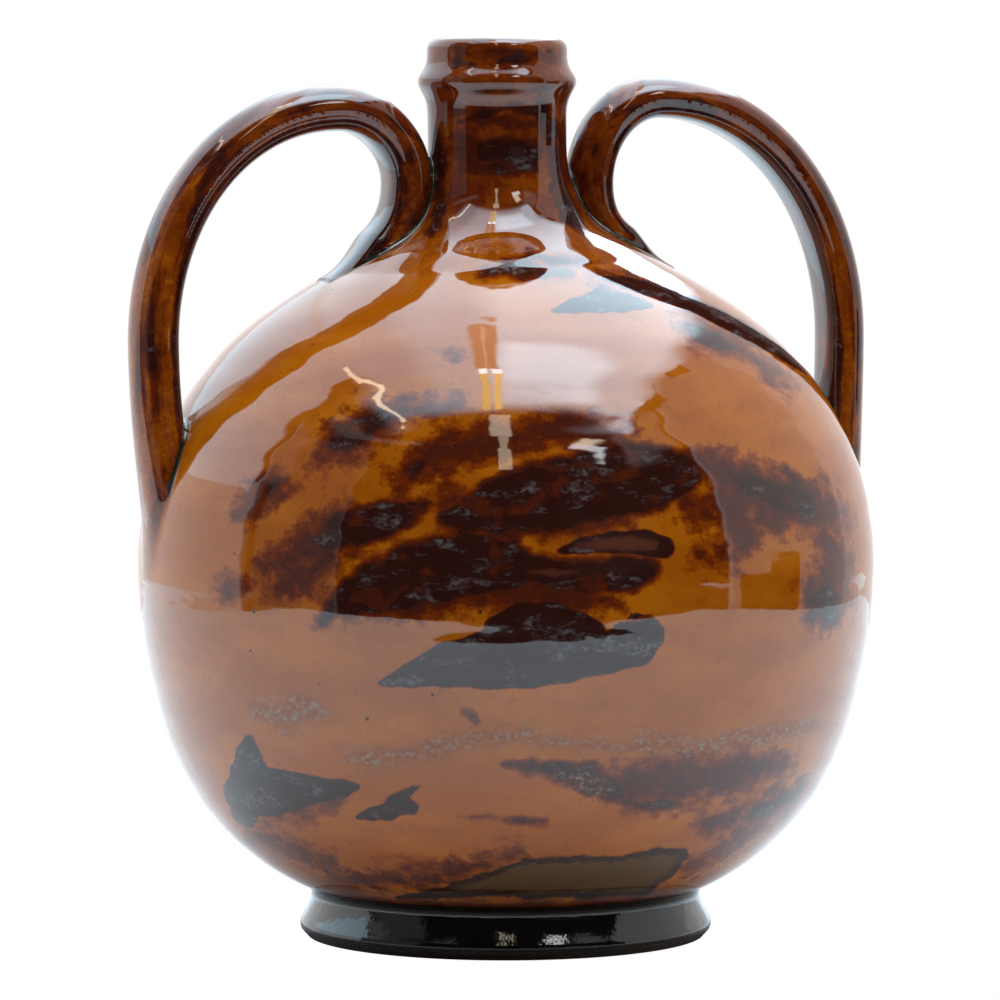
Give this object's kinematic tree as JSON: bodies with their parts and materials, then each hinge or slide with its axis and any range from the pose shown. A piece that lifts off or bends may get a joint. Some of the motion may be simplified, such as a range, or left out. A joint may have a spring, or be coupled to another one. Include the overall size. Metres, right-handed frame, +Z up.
{
  "type": "pilgrim flask",
  "caption": "Globular glazed stoneware flask with a collared neck, tall grooved strap handles on its shoulder and a turned foot ring.",
  "frame": {"origin": "centre of the foot ring, in the plane of its resting face", "axes": "+Z up along the body's axis, out through the mouth; +X towards the right handle; +Y towards the back"},
  "size_m": [0.196, 0.189, 0.23],
  "materials": {
    "amber_glaze": "gloss",
    "streaked_glaze": "gloss",
    "dark_glaze": "gloss"
  },
  "bodies": {
    "root": {"body": "amber_glaze", "foot_ring": "dark_glaze", "neck": "streaked_glaze", "handle_left": "streaked_glaze", "handle_right": "streaked_glaze"}
  },
  "joints": []
}
